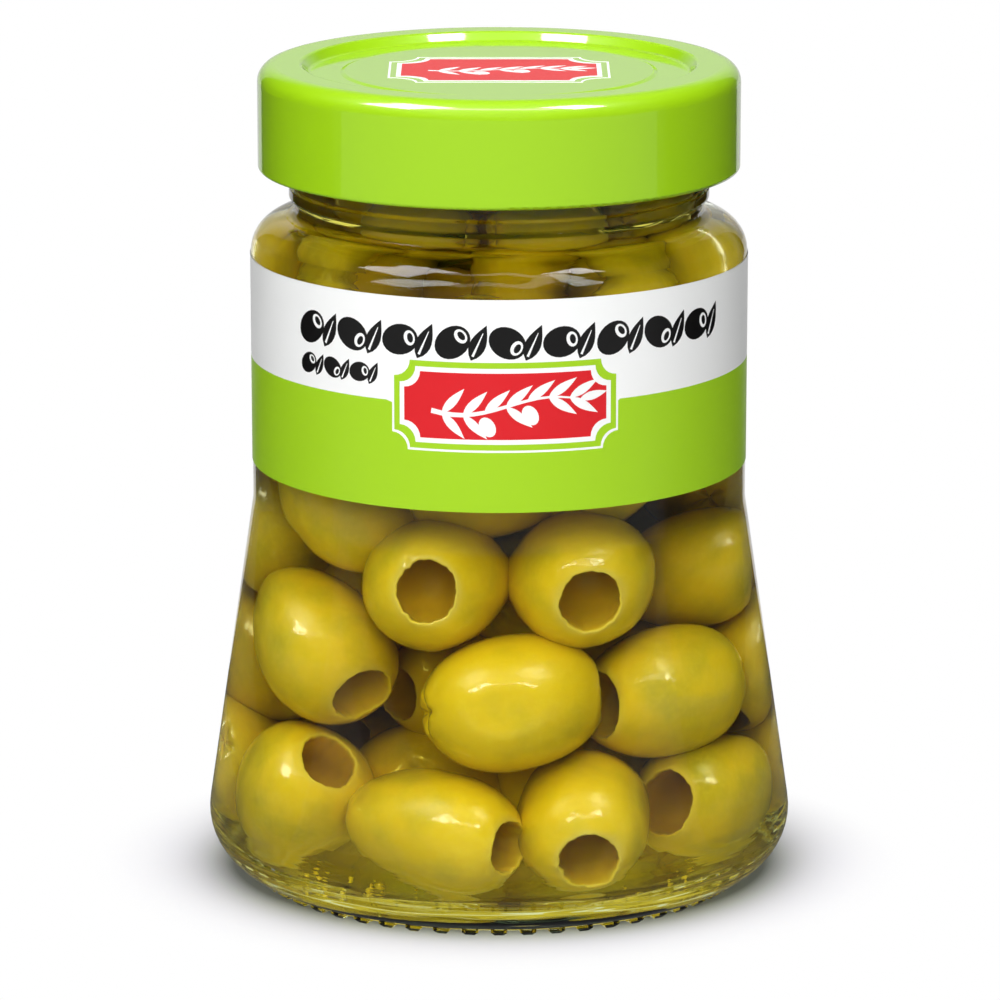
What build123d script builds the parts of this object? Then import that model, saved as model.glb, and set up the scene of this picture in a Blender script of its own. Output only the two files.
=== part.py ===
"""Jar of pitted green olives: a flared glass jar, its twist-off cap, the paper label and the brine.

Millimetres, +Z up. The origin is the centre of the foot, on the surface that the jar stands on,
and the front of the label faces -Y. Each outline is drawn in the XZ plane, as radius and height,
and turned about Z.
"""

import os
from math import acos, atan2, degrees, radians, sin, tan

from build123d import *

# ---- Jar: outside of the glass -------------------------------------------------------------
KNURL_HEIGHT = 0.35  # how far the foot's knurls stand below the heel
FLARE_RADIUS = 42.0  # where the flared wall would meet the bottom of the heel
HEEL_ROUND = 8.1
LABEL_PANEL_RADIUS = 34.14
LABEL_PANEL_BOTTOM = 53.25
LABEL_PANEL_HEIGHT = 39.35  # from the flare up to the top of the shoulder
FLARE_BLEND = 9.0
SHOULDER_ROUND = 4.75
SHOULDER_WIDTH = 6.14  # from the label panel in to the neck
NECK_FOOT_ROUND = 1.3

# ---- Jar: finish, the part that the cap screws on --------------------------------------------
FINISH_HEIGHT = 19.5  # from the shoulder up to the rim
BEAD_DEPTH = 0.85
BEAD_ABOVE_SHOULDER = 3.2
BEAD_THICKNESS = 2.6
BEAD_ROUND = 0.6
FINISH_STEP = 0.45  # how far the threaded wall stands out from the neck
RIM_OUTER_ROUND = 0.8
RIM_INNER_ROUND = 1.3
THREAD_STARTS = 4
THREAD_ROUND = 1.2
THREAD_DEPTH = 1.65  # from the threaded wall out to the thread's crest
THREAD_SHIFT = 4.9  # a thread's centre lies off the jar's axis, so its ends fade into the wall
THREAD_RISE = 3.6
THREAD_MIDDLE = -15.0  # azimuth of the first thread's middle, from the front

# ---- Jar: inside of the glass ----------------------------------------------------------------
WALL = 2.5
NECK_WALL = 2.4
BASE_THICKNESS = 3.9
INNER_HEEL_ROUND = 6.0
INNER_FLARE_BLEND = 8.0
INNER_SHOULDER_ROUND = 4.0
INNER_NECK_ROUND = 1.8
SHOULDER_THICKNESS = 2.4

# ---- Jar: foot ---------------------------------------------------------------------------------
FOOT_RING_INSET = 0.7  # from the heel's lower edge in to the flat ring that the jar stands on
FOOT_RING_WIDTH = 1.0
PUSH_UP = 1.5
PUSH_UP_SLOPE = 4.4
PUSH_UP_ROUND = 2.5
KNURLS = 56
KNURL_OUTSET = 1.5  # from the heel's lower edge out to the knurls' middles
KNURL_LENGTH = 2.6
KNURL_WIDTH = 2.2
KNURL_CHAMFER = 0.5
KNURL_SUNK = 0.65  # how far a knurl runs up into the heel

# ---- Cap ---------------------------------------------------------------------------------------
CAP_SHEET = 0.25
CAP_HEIGHT = 14.4
CAP_CLEARANCE = 2.7  # between the threads' crests and the skirt
CAP_TOP_ROUND = 2.43
CAP_INNER_ROUND = 1.6
CAP_LAND_WIDTH = 5.95  # the raised ring round the top
CAP_RECESS = 1.3
CAP_RECESS_SLOPE = 1.1
CAP_RECESS_ROUND = 0.55
CAP_GROOVE_WIDTH = 4.3  # from the foot of the recess in to the middle disc
CAP_DISC_STEP = 0.22
CAP_DISC_SLOPE = 0.6
CAP_DISC_ROUND = 0.4
CAP_CURL_DEPTH = 1.1
CAP_CURL_HEIGHT = 1.5
CAP_CURL_ROUND = 0.5
LUG_REACH = 2.4  # how far a lug reaches in from the curl
LUG_THICKNESS = 0.75
LUG_LIFT = 0.25  # the lug's underside above the cap's lower edge
LUG_SWEEP = 12.0
LUG_FROM_MIDDLE = 24.0  # azimuth of a lug's middle from its thread's middle
LUG_CLEARANCE = 0.25

# ---- Label -------------------------------------------------------------------------------------
PAPER = 0.1
LABEL_ABOVE_FLARE = 5.46
LABEL_BELOW_SHOULDER = 0.3
LABEL_OVERLAP = 14.0  # sweep of the glued overlap at the back

# ---- Contents ------------------------------------------------------------------------------------
HEADSPACE = 7.25  # free height between the brine and the cap

# ---- Worked out from the sizes above -------------------------------------------------------------
flare_angle = atan2(FLARE_RADIUS - LABEL_PANEL_RADIUS, LABEL_PANEL_BOTTOM - KNURL_HEIGHT)
panel_top = LABEL_PANEL_BOTTOM + LABEL_PANEL_HEIGHT
rim_height = panel_top + FINISH_HEIGHT
heel_edge = FLARE_RADIUS - HEEL_ROUND / tan((radians(90) - flare_angle) / 2)
foot_ring_outer = heel_edge - FOOT_RING_INSET
foot_ring_inner = foot_ring_outer - FOOT_RING_WIDTH
neck_radius = LABEL_PANEL_RADIUS - SHOULDER_WIDTH
bore_radius = neck_radius - NECK_WALL
finish_radius = neck_radius + FINISH_STEP
cap_radius = finish_radius + THREAD_DEPTH + CAP_CLEARANCE + CAP_SHEET
cap_top = rim_height + CAP_SHEET + CAP_RECESS
cap_bottom = cap_top - CAP_HEIGHT
cap_land_inner = cap_radius - CAP_LAND_WIDTH
cap_recess_foot = cap_land_inner - CAP_RECESS_SLOPE
cap_disc_radius = cap_recess_foot - CAP_GROOVE_WIDTH
lug_top = cap_bottom + LUG_LIFT + LUG_THICKNESS
inner_flare_corner = (
    LABEL_PANEL_RADIUS - WALL,
    LABEL_PANEL_BOTTOM - WALL * tan(flare_angle / 2),
)
label_bottom = LABEL_PANEL_BOTTOM + LABEL_ABOVE_FLARE
label_top = panel_top - SHOULDER_ROUND - LABEL_BELOW_SHOULDER
brine_level = rim_height - HEADSPACE


def turned(corners):
    """Turn an outline about Z into a solid.

    Each corner is (radius, height, round). The first and last corners lie on the axis.
    """
    points = [(radius, height) for radius, height, _ in corners]
    rounds = [corner_round for _, _, corner_round in corners[1:-1]]
    outline = FilletPolyline(*points, radius=rounds)
    axis_side = Line(points[-1], points[0])
    face = make_face(Plane.XZ * (outline + axis_side))
    return revolve(face, Axis.Z)


def at_azimuth(azimuth):
    """Turn about Z that brings +X to an azimuth from the front, in degrees."""
    return Rot(0, 0, azimuth - 90)


def cavity_corners():
    """Corners of the inside of the glass, from the middle of the floor to the foot of the neck."""
    radius, height = inner_flare_corner
    heel = radius + (height - BASE_THICKNESS) * tan(flare_angle)
    shoulder = panel_top - SHOULDER_THICKNESS
    return [
        (0, BASE_THICKNESS, 0),
        (heel, BASE_THICKNESS, INNER_HEEL_ROUND),
        (radius, height, INNER_FLARE_BLEND),
        (radius, shoulder, INNER_SHOULDER_ROUND),
        (bore_radius, shoulder, INNER_NECK_ROUND),
    ]


def outside_corners():
    """Corners of the outside of the glass, from under the foot up to the threaded wall."""
    bead_bottom = panel_top + BEAD_ABOVE_SHOULDER - BEAD_THICKNESS / 2
    bead_top = bead_bottom + BEAD_THICKNESS
    bead_radius = neck_radius + BEAD_DEPTH
    return [
        (0, PUSH_UP, 0),
        (foot_ring_inner - PUSH_UP_SLOPE, PUSH_UP, PUSH_UP_ROUND),
        (foot_ring_inner - KNURL_HEIGHT, KNURL_HEIGHT, 0),
        (foot_ring_inner, 0, 0),
        (foot_ring_outer, 0, 0),
        (foot_ring_outer + KNURL_HEIGHT, KNURL_HEIGHT, 0),
        (FLARE_RADIUS, KNURL_HEIGHT, HEEL_ROUND),
        (LABEL_PANEL_RADIUS, LABEL_PANEL_BOTTOM, FLARE_BLEND),
        (LABEL_PANEL_RADIUS, panel_top, SHOULDER_ROUND),
        (neck_radius, panel_top, NECK_FOOT_ROUND),
        (neck_radius, bead_bottom, BEAD_ROUND / 2),
        (bead_radius, bead_bottom + BEAD_DEPTH, BEAD_ROUND),
        (bead_radius, bead_top - bead_radius + finish_radius, BEAD_ROUND / 2),
        (finish_radius, bead_top, BEAD_ROUND / 2),
    ]


def knurls():
    """Short blunt bars round the foot, level with the foot ring."""
    height = KNURL_HEIGHT + KNURL_SUNK
    block = Box(KNURL_LENGTH, KNURL_WIDTH, height)
    underside = block.faces().sort_by(Axis.Z)[0]
    bar = Pos(heel_edge + KNURL_OUTSET, 0, height / 2) * chamfer(underside.edges(), KNURL_CHAMFER)
    return [at_azimuth(360 / KNURLS * n) * bar for n in range(KNURLS)]


def thread(start):
    """One thread: a round rib that rises out of the wall and fades into it again, tilted."""
    ring_radius = finish_radius + THREAD_DEPTH - THREAD_ROUND - THREAD_SHIFT
    end_radius = (bore_radius + finish_radius) / 2
    end_cosine = (end_radius**2 - THREAD_SHIFT**2 - ring_radius**2) / (2 * THREAD_SHIFT * ring_radius)
    half_sweep = acos(end_cosine)
    tilt = atan2(THREAD_RISE / 2, ring_radius * sin(half_sweep))
    rise_at_lug = finish_radius * sin(radians(LUG_FROM_MIDDLE)) * tan(tilt)
    height = lug_top + LUG_CLEARANCE + THREAD_ROUND - rise_at_lug
    section = Plane.XZ * (Pos(ring_radius, 0) * Circle(THREAD_ROUND))
    rib = Rot(0, 0, -degrees(half_sweep)) * revolve(section, Axis.Z, degrees(2 * half_sweep))
    middle = THREAD_MIDDLE + 360 / THREAD_STARTS * start
    return at_azimuth(middle) * Pos(THREAD_SHIFT, 0, height) * Rot(degrees(tilt), 0, 0) * rib


def glass_jar():
    """The whole glass: wall, base with its foot, neck, bead, rim and threads."""
    rim = [
        (finish_radius, rim_height, RIM_OUTER_ROUND),
        (bore_radius, rim_height, RIM_INNER_ROUND),
    ]
    glass = turned(outside_corners() + rim + cavity_corners()[::-1])
    for start in range(THREAD_STARTS):
        glass += thread(start)
    return glass + knurls()


def brine():
    """The brine with the olives sunk in it, a solid up to the liquid's level."""
    surface = [(bore_radius, brine_level, 0), (0, brine_level, 0)]
    return turned(cavity_corners() + surface)


def label():
    """Paper band round the label panel, with its glued overlap at the back."""
    height = label_top - label_bottom

    def band(inner_radius, sweep):
        strip = Plane.XZ * (Pos(inner_radius, label_bottom) * Rectangle(PAPER, height, align=Align.MIN))
        return revolve(strip, Axis.Z, sweep)

    overlap = Rot(0, 0, 90 - LABEL_OVERLAP / 2) * band(LABEL_PANEL_RADIUS + PAPER, LABEL_OVERLAP)
    return band(LABEL_PANEL_RADIUS, 360) + overlap


def lug(start):
    """One lug of the cap, reaching in under its thread."""
    azimuth = THREAD_MIDDLE + 360 / THREAD_STARTS * start + LUG_FROM_MIDDLE
    outer = cap_radius - CAP_SHEET / 2
    inner = cap_radius - CAP_CURL_DEPTH - LUG_REACH
    section = Pos(inner, cap_bottom + LUG_LIFT) * Rectangle(outer - inner, LUG_THICKNESS, align=Align.MIN)
    swept = revolve(Plane.XZ * section, Axis.Z, LUG_SWEEP)
    return at_azimuth(azimuth - LUG_SWEEP / 2) * swept


def cap():
    """Twist-off cap: pressed sheet with a recessed middle, a rolled lower edge and its lugs."""
    recess = cap_top - CAP_RECESS
    disc = recess + CAP_DISC_STEP
    curl_inner = cap_radius - CAP_CURL_DEPTH
    outside = [
        (0, disc, 0),
        (cap_disc_radius - CAP_DISC_SLOPE, disc, CAP_DISC_ROUND),
        (cap_disc_radius, recess, CAP_DISC_ROUND),
        (cap_recess_foot, recess, CAP_RECESS_ROUND),
        (cap_land_inner, cap_top, CAP_RECESS_ROUND),
        (cap_radius, cap_top, CAP_TOP_ROUND),
        (cap_radius, cap_bottom, CAP_CURL_ROUND),
    ]
    inside = [
        (curl_inner, cap_bottom, CAP_CURL_ROUND),
        (curl_inner, cap_bottom + CAP_CURL_HEIGHT, CAP_CURL_ROUND / 2),
        (cap_radius - CAP_SHEET, cap_bottom + CAP_CURL_HEIGHT, 0),
        (cap_radius - CAP_SHEET, rim_height, CAP_INNER_ROUND),
        (cap_disc_radius, rim_height, 0),
        (cap_disc_radius - CAP_DISC_SLOPE, rim_height + CAP_DISC_STEP, 0),
        (0, rim_height + CAP_DISC_STEP, 0),
    ]
    metal = turned(outside + inside)
    for start in range(THREAD_STARTS):
        metal += lug(start)
    return metal


os.makedirs("parts", exist_ok=True)
for name, build in {"glass_jar": glass_jar, "lid": cap, "label": label, "brine": brine}.items():
    shape = build()
    export_step(shape, f"parts/{name}.step")
    print(name, "volume", round(shape.volume), "mm3, solids", len(shape.solids()))
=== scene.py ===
"""Looks of a jar of pitted green olives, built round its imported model.

Sizes are millimetres and become metres where a mesh is made. The jar stands at the origin with +Z up
and its front towards -Y. An azimuth is in degrees from the front, positive to the right.
"""

import logging
from dataclasses import dataclass, field
from enum import Enum
from math import asin, ceil, cos, degrees, pi, radians, sin, tan

import bpy
import numpy as np
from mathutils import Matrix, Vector
from mathutils.geometry import delaunay_2d_cdt


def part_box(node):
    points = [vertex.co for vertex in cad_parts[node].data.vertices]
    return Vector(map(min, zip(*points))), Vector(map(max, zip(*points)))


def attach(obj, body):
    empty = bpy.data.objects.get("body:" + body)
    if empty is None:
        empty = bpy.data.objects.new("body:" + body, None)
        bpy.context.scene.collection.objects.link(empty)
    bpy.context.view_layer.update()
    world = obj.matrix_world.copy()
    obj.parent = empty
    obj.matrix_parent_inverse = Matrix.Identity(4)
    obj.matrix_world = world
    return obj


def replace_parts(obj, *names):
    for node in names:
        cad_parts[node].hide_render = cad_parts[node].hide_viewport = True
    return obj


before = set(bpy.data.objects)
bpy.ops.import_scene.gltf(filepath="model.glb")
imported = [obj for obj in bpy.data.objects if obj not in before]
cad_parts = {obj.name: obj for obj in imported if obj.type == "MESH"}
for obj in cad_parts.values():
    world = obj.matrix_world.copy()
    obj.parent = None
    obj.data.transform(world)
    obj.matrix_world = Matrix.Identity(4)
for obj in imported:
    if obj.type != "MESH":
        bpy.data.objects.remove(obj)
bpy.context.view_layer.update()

log = logging.getLogger("jar")

MM = 0.001
BODY = "root"


# ---- Shared helpers ------------------------------------------------------------------------------


def linear(hex_colour: str) -> tuple[float, float, float, float]:
    """Turn an sRGB hex colour into the linear colour that nodes take.

    Args:
        hex_colour: A colour such as "#96D008".

    Returns:
        Linear red, green and blue, and an alpha of 1.
    """
    channels = [int(hex_colour[i : i + 2], 16) / 255 for i in (1, 3, 5)]
    return (*[c / 12.92 if c <= 0.04045 else ((c + 0.055) / 1.055) ** 2.4 for c in channels], 1.0)


def pattern_scale(size: float) -> float:
    """Scale of a texture node, in metres, whose features are size millimetres across."""
    return 1.0 / (size * MM)


def add_node(tree: bpy.types.NodeTree, kind: str, values: dict | None = None) -> bpy.types.Node:
    """Add a node with its settings and links.

    Args:
        tree: The node tree that takes the node.
        kind: The node's type name, without the ShaderNode in front.
        values: Settings by property name, and by the name or number of an input the value that it holds
            or the output socket that feeds it.

    Returns:
        The new node.
    """
    node = tree.nodes.new(f"ShaderNode{kind}")
    for name, value in (values or {}).items():
        if isinstance(name, str) and name in node.bl_rna.properties:
            setattr(node, name, value)
        elif isinstance(value, bpy.types.NodeSocket):
            tree.links.new(value, node.inputs[name])
        else:
            node.inputs[name].default_value = value
    return node


def unit(vector: np.ndarray) -> np.ndarray:
    """The vector, or each row of vectors, at length 1."""
    return vector / np.linalg.norm(vector, axis=-1, keepdims=True)


def smooth_step(values: np.ndarray, low: float, high: float) -> np.ndarray:
    """Rise smoothly from 0 at low to 1 at high."""
    share = np.clip((values - low) / (high - low), 0, 1)
    return share * share * (3 - 2 * share)


def from_front(azimuth: float, radius: float, height: float) -> np.ndarray:
    """Point at an azimuth, a radius and a height, in millimetres."""
    return np.array([radius * sin(radians(azimuth)), -radius * cos(radians(azimuth)), height])


def heading(turn: float, lift: float) -> np.ndarray:
    """Direction that points turn degrees right of the front and lift degrees up."""
    return from_front(turn, cos(radians(lift)), sin(radians(lift)))


def make_piece(
    name: str,
    points: np.ndarray,
    faces: list[tuple[int, ...]],
    materials: list[bpy.types.Material],
    face_materials: np.ndarray | None = None,
    sharp_angle: float | None = None,
) -> bpy.types.Object:
    """Make a smooth-shaded mesh piece that rides on the jar.

    Args:
        name: The piece's name.
        points: Vertices in millimetres.
        faces: Vertex numbers of each face.
        materials: The piece's materials.
        face_materials: Number of each face's material, or None where there is one.
        sharp_angle: Angle in degrees above which an edge stays sharp, or None.

    Returns:
        The new object.
    """
    mesh = bpy.data.meshes.new(name)
    mesh.from_pydata((np.asarray(points) * MM).tolist(), [], faces)
    mesh.shade_smooth()
    if sharp_angle is not None:
        mesh.set_sharp_from_angle(angle=radians(sharp_angle))
    for material in materials:
        mesh.materials.append(material)
    if face_materials is not None:
        mesh.polygons.foreach_set("material_index", np.asarray(face_materials, np.int32))
    piece = bpy.data.objects.new(name, mesh)
    bpy.context.scene.collection.objects.link(piece)
    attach(piece, BODY)
    return piece


def rounded_outline(corners: list[tuple[float, float, float]], step: float = 6.0) -> np.ndarray:
    """Points of an outline whose corners are rounded by arcs.

    Args:
        corners: Radius, height and round of each corner, in millimetres.
        step: Turn between two points of an arc, in degrees.

    Returns:
        Rows of radius and height.
    """
    points = [np.array(corners[0][:2], float)]
    for before, corner, after in zip(corners, corners[1:], corners[2:]):
        here = np.array(corner[:2], float)
        if corner[2] == 0:
            points.append(here)
            continue
        back = unit(np.array(before[:2]) - here)
        ahead = unit(np.array(after[:2]) - here)
        half = np.arccos(np.clip(back @ ahead, -1, 1)) / 2
        centre = here + unit(back + ahead) * corner[2] / sin(half)
        start = here + back * corner[2] / tan(half) - centre
        end = here + ahead * corner[2] / tan(half) - centre
        sweep = pi - 2 * half
        for share in np.linspace(0, 1, ceil(degrees(sweep) / step) + 1):
            arm = start * sin((1 - share) * sweep) + end * sin(share * sweep)
            points.append(centre + arm / sin(sweep))
    points.append(np.array(corners[-1][:2], float))
    return np.array(points)


def turned(outline: np.ndarray, segments: int) -> tuple[np.ndarray, list[tuple[int, ...]]]:
    """Turn an outline that starts and ends on the axis about Z.

    Args:
        outline: Rows of radius and height, from the axis back to the axis.
        segments: Number of steps round.

    Returns:
        Vertices and faces.
    """
    angles = np.arange(segments) * 2 * pi / segments
    across, along = np.cos(angles), np.sin(angles)
    rings = [np.stack([r * across, r * along, 0 * angles + z], 1) for r, z in outline[1:-1]]
    points = np.concatenate(rings + [[[0, 0, outline[0][1]]], [[0, 0, outline[-1][1]]]])
    return points, ring_faces(len(rings), segments, len(points) - 2, len(points) - 1)


def ring_faces(rings: int, segments: int, first_pole: int, last_pole: int) -> list[tuple[int, ...]]:
    """Faces that join a stack of rings and close it with a point at each end.

    Args:
        rings: Number of rings.
        segments: Number of vertices in a ring.
        first_pole: Number of the vertex that closes the first ring.
        last_pole: Number of the vertex that closes the last ring.

    Returns:
        Vertex numbers of each face.
    """
    here = np.arange(segments)
    after = (here + 1) % segments
    faces = [(first_pole, b, a) for a, b in zip(here.tolist(), after.tolist())]
    for ring in range(rings - 1):
        low, high = ring * segments, (ring + 1) * segments
        corners = np.stack([low + here, low + after, high + after, high + here], 1)
        faces += [tuple(c) for c in corners.tolist()]
    top = (rings - 1) * segments
    return faces + [(last_pole, top + a, top + b) for a, b in zip(here.tolist(), after.tolist())]


# ---- Finishes ------------------------------------------------------------------------------------


@dataclass(frozen=True)
class Finish:
    """A plain finish: the base of all the others.

    Attributes:
        name: The real material's name.
        colour: sRGB hex colour.
        roughness: Roughness of the surface, from 0 to 1.
        ior: Index of refraction.
    """

    name: str
    colour: str
    roughness: float
    ior: float = 1.5

    def inputs(self) -> dict[str, float | tuple[float, ...]]:
        """Values of the shader's inputs that are the same all over the surface."""
        return {"Base Color": linear(self.colour), "Roughness": self.roughness, "IOR": self.ior}

    def material(self) -> bpy.types.Material:
        """Make the material."""
        material = bpy.data.materials.new(self.name)
        material.use_nodes = True
        tree = material.node_tree
        tree.nodes.clear()
        shader = add_node(tree, "BsdfPrincipled", self.inputs())
        output = add_node(tree, "OutputMaterial")
        self.dress(tree, shader)
        self.finish(tree, shader, output)
        return material

    def dress(self, tree: bpy.types.NodeTree, shader: bpy.types.Node) -> None:
        """Add the finish's own pattern to the shader: a plain finish has none."""

    def finish(self, tree: bpy.types.NodeTree, shader: bpy.types.Node, output: bpy.types.Node) -> None:
        """Link the shader to the material's output."""
        tree.links.new(shader.outputs[0], output.inputs["Surface"])


@dataclass(frozen=True)
class Clear(Finish):
    """Glass or brine: bends what is seen through it, and lets lamps through to what lies inside.

    Attributes:
        depth_colour: sRGB hex colour that a depth of it takes on.
        depth: That depth, in millimetres.
        mirror: Share of the light mirrored in air that it mirrors, as given.
        waves: Where the glass is uneven: for each zone the heights at which it starts and is in
            full, its depth, its length along the wall, and how often that length its height is.
        spare: How far the absorption's density lies over the strongest of the three colours'.
    """

    depth_colour: str = "#F3F8EE"
    depth: float = 10.0
    mirror: float = 0.5
    waves: tuple[tuple[float, float, float, float, float], ...] = ()
    spare: float = 1.25

    def inputs(self) -> dict[str, float | tuple[float, ...]]:
        """Values of the shader's inputs: all the light that isn't mirrored goes through."""
        tint = (self.mirror, self.mirror, self.mirror, 1.0)
        return {**super().inputs(), "Transmission Weight": 1.0, "Specular Tint": tint}

    def dress(self, tree: bpy.types.NodeTree, shader: bpy.types.Node) -> None:
        """Make the surface uneven in its zones of waves.

        Args:
            tree: The material's node tree.
            shader: Its Principled shader.
        """
        if not self.waves:
            return
        place = add_node(tree, "TexCoord").outputs["Object"]
        height = add_node(tree, "SeparateXYZ", {0: place}).outputs["Z"]
        relief = 0.0
        for start, full, deep, long, squeeze in self.waves:
            limits = {"From Min": start * MM, "From Max": full * MM, "To Max": deep * MM}
            zone = add_node(tree, "MapRange", {**limits, "Value": height}).outputs[0]
            squeezed = add_node(tree, "Mapping", {"Scale": (1.0, 1.0, squeeze), "Vector": place}).outputs[0]
            pattern = {"Scale": pattern_scale(long), "Detail": 1.0, "Vector": squeezed}
            noise = add_node(tree, "TexNoise", pattern).outputs[0]
            wave = {"operation": "MULTIPLY_ADD", 0: noise, 1: zone, 2: relief}
            relief = add_node(tree, "Math", wave).outputs[0]
        bump = add_node(tree, "Bump", {"Strength": 1.0, "Distance": 1.0, "Height": relief})
        tree.links.new(bump.outputs[0], shader.inputs["Normal"])

    def finish(self, tree: bpy.types.NodeTree, shader: bpy.types.Node, output: bpy.types.Node) -> None:
        """Let lamp light pass straight, and tint what lies deep.

        Args:
            tree: The material's node tree.
            shader: Its Principled shader.
            output: Its output node.
        """
        path = add_node(tree, "LightPath").outputs
        rays = {"operation": "MAXIMUM", 0: path["Is Shadow Ray"], 1: path["Is Diffuse Ray"]}
        straight = add_node(tree, "Math", rays).outputs[0]
        gap = add_node(tree, "BsdfTransparent", {"Color": linear(self.colour)}).outputs[0]
        mix = add_node(tree, "MixShader", {0: straight, 1: shader.outputs[0], 2: gap})
        tree.links.new(mix.outputs[0], output.inputs["Surface"])
        taken = -np.log(np.array(linear(self.depth_colour)[:3])) / (self.depth * MM)
        density = float(taken.max()) * self.spare
        kept = 1 - taken / density
        volume = add_node(tree, "VolumeAbsorption", {"Color": (*kept.tolist(), 1.0), "Density": density})
        tree.links.new(volume.outputs[0], output.inputs["Volume"])


@dataclass(frozen=True)
class Lacquer(Finish):
    """Stove lacquer on tinplate: full colour under a glossy clear coat with a faint orange peel.

    Attributes:
        coat_roughness: Roughness of the clear coat.
        coat_ior: Its index of refraction.
        peel: Width of a dimple of the orange peel.
        peel_depth: How deep the dimples are.
    """

    coat_roughness: float = 0.06
    coat_ior: float = 1.8
    peel: float = 2.2
    peel_depth: float = 0.1

    def inputs(self) -> dict[str, float | tuple[float, ...]]:
        """Values of the shader's inputs: most of the gloss is the clear coat's."""
        coat = {"Coat Weight": 1.0, "Coat Roughness": self.coat_roughness, "Coat IOR": self.coat_ior}
        return {**super().inputs(), "Specular IOR Level": 0.25, **coat}

    def dress(self, tree: bpy.types.NodeTree, shader: bpy.types.Node) -> None:
        """Add the orange peel.

        Args:
            tree: The material's node tree.
            shader: Its Principled shader.
        """
        place = add_node(tree, "TexCoord").outputs["Object"]
        pattern = {"Scale": pattern_scale(self.peel), "Detail": 1.0, "Vector": place}
        noise = add_node(tree, "TexNoise", pattern).outputs[0]
        bump = add_node(tree, "Bump", {"Strength": 0.06, "Distance": self.peel_depth * MM, "Height": noise})
        for socket in ("Normal", "Coat Normal"):
            tree.links.new(bump.outputs[0], shader.inputs[socket])


@dataclass(frozen=True)
class CoatedPaper(Finish):
    """Printed coated paper under a thin varnish, its fibres just showing in the gloss.

    Attributes:
        fibre: Width of the fibres' pattern.
        fibre_depth: How deep it is.
    """

    fibre: float = 0.7
    fibre_depth: float = 0.05

    def inputs(self) -> dict[str, float | tuple[float, ...]]:
        """Values of the shader's inputs: the varnish mirrors more than bare paper."""
        return {**super().inputs(), "Specular IOR Level": 0.65}

    def dress(self, tree: bpy.types.NodeTree, shader: bpy.types.Node) -> None:
        """Add the paper's fibres to the gloss and the relief.

        Args:
            tree: The material's node tree.
            shader: Its Principled shader.
        """
        place = add_node(tree, "TexCoord").outputs["Object"]
        pattern = {"Scale": pattern_scale(self.fibre), "Detail": 4.0, "Vector": place}
        noise = add_node(tree, "TexNoise", pattern).outputs[0]
        limits = {"To Min": self.roughness - 0.05, "To Max": self.roughness + 0.08}
        rough = add_node(tree, "MapRange", {**limits, "Value": noise})
        bump = add_node(tree, "Bump", {"Strength": 0.05, "Distance": self.fibre_depth * MM, "Height": noise})
        tree.links.new(rough.outputs[0], shader.inputs["Roughness"])
        tree.links.new(bump.outputs[0], shader.inputs["Normal"])


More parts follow.
